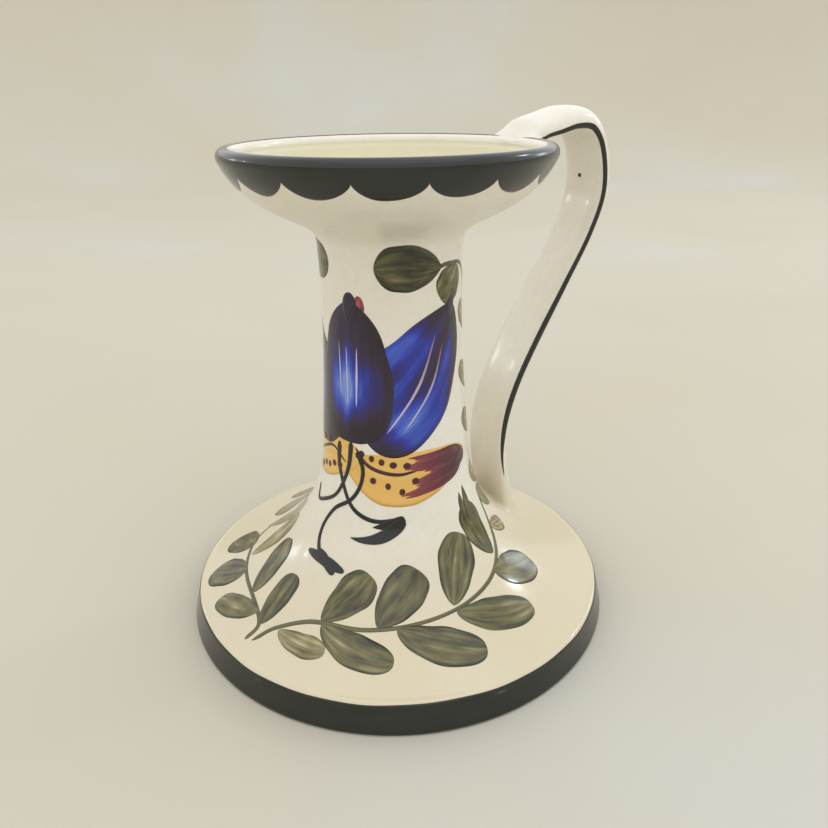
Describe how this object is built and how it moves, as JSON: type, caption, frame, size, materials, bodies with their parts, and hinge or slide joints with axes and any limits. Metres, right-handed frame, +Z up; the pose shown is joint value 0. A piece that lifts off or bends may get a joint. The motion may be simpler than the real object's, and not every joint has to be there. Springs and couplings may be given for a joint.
{
  "type": "ceramic pitcher",
  "caption": "Glazed pitcher with a flared round mouth on a slender hollow column, a broad hollow foot with a flat base, and a strap handle from lip to foot.",
  "frame": {"origin": "centre of the flat base, on the vessel's axis, in the plane it stands on", "axes": "+Z up along the vessel's axis, +X from the axis towards the handle"},
  "size_m": [0.1422, 0.133, 0.1491],
  "materials": {
    "glazed_body": "gloss cream glaze with painted leaves, flowers and dark bands",
    "glazed_handle": "gloss cream glaze with a dark painted line along each edge",
    "bare_clay": "matt unglazed buff clay",
    "slip": "matt fired slip in the joints"
  },
  "bodies": {
    "root": {"floor_disc": "bare_clay", "floor_slip": "slip", "foot_shell": "glazed_body", "column_foot_slip": "slip", "column": "glazed_body", "column_bowl_slip": "slip", "bowl": "glazed_body", "handle": "glazed_handle", "handle_rim_slip": "slip", "handle_foot_slip": "slip", "handle_rim_coil": "glazed_handle", "handle_foot_coil": "glazed_handle"}
  },
  "joints": []
}
